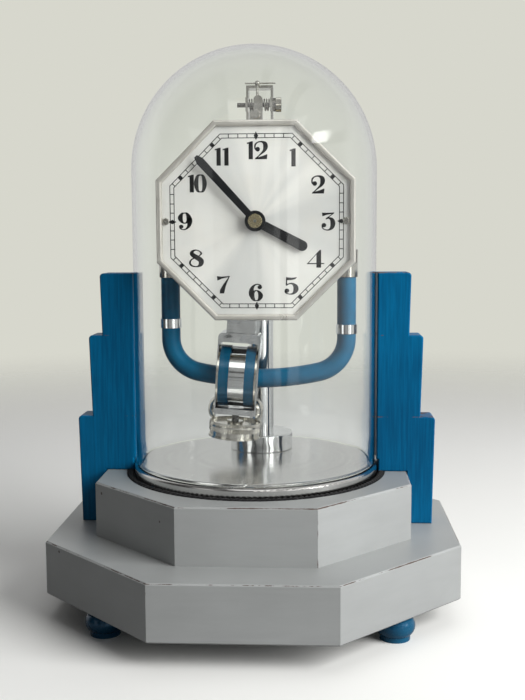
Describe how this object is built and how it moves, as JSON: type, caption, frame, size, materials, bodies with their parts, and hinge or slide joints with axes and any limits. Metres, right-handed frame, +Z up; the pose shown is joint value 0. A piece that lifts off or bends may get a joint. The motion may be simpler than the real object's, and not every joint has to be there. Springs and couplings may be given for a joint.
{
  "type": "electromagnetic clock",
  "caption": "Electromagnetic pendulum clock with an octagonal dial over a U-shaped bar magnet, under a glass dome on a stepped octagonal base with side wings.",
  "frame": {"origin": "on the table, under the middle of the plinth", "axes": "+Z up, the dial faces -Y, +X to the right as the dial is read"},
  "size_m": [0.27, 0.27, 0.3755],
  "materials": {
    "blue_gloss": "glossy metallic blue lacquer on turned feet",
    "screw_brass": "plain brass wood screws, slightly dulled",
    "cover_board": "thin board painted grey, matte",
    "grey_paint": "wood brushed with silver-grey paint, worn to reddish brown at the edges",
    "battery_wrap": "plain printed-free battery sleeve",
    "contact_brass": "bent spring brass strip",
    "lead_sleeve": "insulated lead",
    "blue_paint": "wood painted petrol blue, brushed, chipped at the corners",
    "turned_aluminium": "turned and brushed in circles",
    "black_cord": "black twisted cord",
    "clear_glass": "clear blown glass",
    "chrome": "polished plating",
    "steel": "plain turned steel",
    "satin_brass": "satin brass movement plates",
    "magnet_paint": "petrol blue enamel",
    "nickel": "warm polished nickel",
    "silvered_dial": "silvered plate brushed out from the centre, black print",
    "bezel_metal": "warm polished frame",
    "gear_brass": "turned and cut brass",
    "black_hand": "blackened steel",
    "spring_steel": "bright spring steel",
    "coil_cover": "petrol blue covers over the winding"
  },
  "bodies": {
    "base": {"feet": "blue_gloss", "wood_screws": "screw_brass", "battery_cover": "cover_board", "plinth": "grey_paint", "battery": "battery_wrap", "battery_contacts": "contact_brass", "battery_leads": "lead_sleeve", "step": "grey_paint", "wing_left": "blue_paint", "wing_right": "blue_paint", "base_plate": "turned_aluminium", "dome_cord": "black_cord", "column_foot": "chrome", "column": "chrome", "column_nut": "steel", "frame_screws": "steel", "movement_yoke": "satin_brass", "back_plate": "satin_brass", "front_plate": "satin_brass", "pillars": "satin_brass", "magnet": "magnet_paint", "magnet_rings": "chrome", "magnet_clips": "nickel", "magnet_bracket": "satin_brass", "dial_plate": "silvered_dial", "dial_bezel": "bezel_metal", "dial_arms": "satin_brass", "dial_screws": "nickel", "minute_stud": "steel", "suspension_cock": "nickel", "beat_block": "gear_brass", "clamp_screw": "nickel", "beat_springs": "spring_steel"},
    "dome": {"glass_dome": "clear_glass"},
    "pendulum": {"suspension_strip": "spring_steel", "suspension_chops": "gear_brass", "pendulum_rod": "steel", "contact_pin": "gear_brass", "bob_hanger": "chrome", "bob_stirrup": "chrome", "coil_bobbin": "nickel", "coil_winding": "coil_cover", "coil_band": "chrome", "bob_knobs": "nickel", "rating_stem": "steel"},
    "nut": {"rating_nut": "nickel"},
    "minute": {"centre_arbor": "steel", "cannon_pinion": "steel", "minute_hand": "black_hand", "hand_collet": "gear_brass"},
    "minute_gear": {"minute_wheel": "gear_brass"},
    "hour": {"hour_wheel": "gear_brass", "hour_hand": "black_hand"},
    "ratchet": {"ratchet_wheel": "gear_brass"},
    "third": {"third_wheel": "gear_brass"},
    "centre": {"centre_wheel": "gear_brass"},
    "fork": {"contact_fork": "gear_brass"},
    "click": {"pawl": "steel"},
    "beat_adjuster": {"beat_screw": "nickel"},
    "key": {"suspension_key": "nickel"}
  },
  "joints": [
    {"name": "dome_lift", "type": "slide", "parent": "base", "child": "dome", "axis": [0, 0, 1], "range_m": [0, 0.3]},
    {"name": "pendulum_swing", "type": "hinge", "parent": "base", "child": "pendulum", "pos_m": [0.0022, 0, 0.3467], "axis": [0, 1, 0], "range_deg": [-10.2, 1.8]},
    {"name": "fork_rock", "type": "hinge", "parent": "base", "child": "fork", "pos_m": [0.0022, -0.01, 0.31], "axis": [0, 1, 0], "range_deg": [-12.24, 2.16]},
    {"name": "pawl_lift", "type": "hinge", "parent": "fork", "child": "click", "pos_m": [-0.00677, -0.0129, 0.31079], "axis": [0, 1, 0], "range_deg": [-12, 0]},
    {"name": "ratchet_spin", "type": "hinge", "parent": "base", "child": "ratchet", "pos_m": [-0.0148, -0.0128, 0.28845], "axis": [0, 1, 0], "continuous": true},
    {"name": "third_spin", "type": "hinge", "parent": "base", "child": "third", "pos_m": [-0.01025, -0.0153, 0.27144], "axis": [0, 1, 0], "continuous": true},
    {"name": "centre_spin", "type": "hinge", "parent": "base", "child": "centre", "pos_m": [0.0022, -0.0168, 0.259], "axis": [0, 1, 0], "continuous": true},
    {"name": "minute_spin", "type": "hinge", "parent": "base", "child": "minute", "pos_m": [0.0022, -0.02, 0.259], "axis": [0, 1, 0], "continuous": true},
    {"name": "minute_wheel_spin", "type": "hinge", "parent": "base", "child": "minute_gear", "pos_m": [0.01069, -0.021, 0.25051], "axis": [0, 1, 0], "continuous": true},
    {"name": "hour_spin", "type": "hinge", "parent": "base", "child": "hour", "pos_m": [0.0022, -0.0227, 0.259], "axis": [0, 1, 0], "continuous": true},
    {"name": "rating_nut_turn", "type": "hinge", "parent": "pendulum", "child": "nut", "pos_m": [-0.01478, 0, 0.11552], "axis": [0.0732, 0, 0.9973], "continuous": true},
    {"name": "beat_screw_turn", "type": "hinge", "parent": "base", "child": "beat_adjuster", "pos_m": [0.0022, -0.0095, 0.3355], "axis": [1, 0, 0], "continuous": true},
    {"name": "key_turn", "type": "hinge", "parent": "base", "child": "key", "pos_m": [0.003, -0.0095, 0.3496], "axis": [0, 0, 1], "continuous": true}
  ],
  "couplings": [
    {"joint": "fork_rock", "follows": "pendulum_swing", "ratio": 1.2},
    {"joint": "third_spin", "follows": "ratchet_spin", "ratio": -0.1},
    {"joint": "centre_spin", "follows": "ratchet_spin", "ratio": 0.01},
    {"joint": "minute_wheel_spin", "follows": "minute_spin", "ratio": -0.33333},
    {"joint": "hour_spin", "follows": "minute_spin", "ratio": 0.083333}
  ]
}
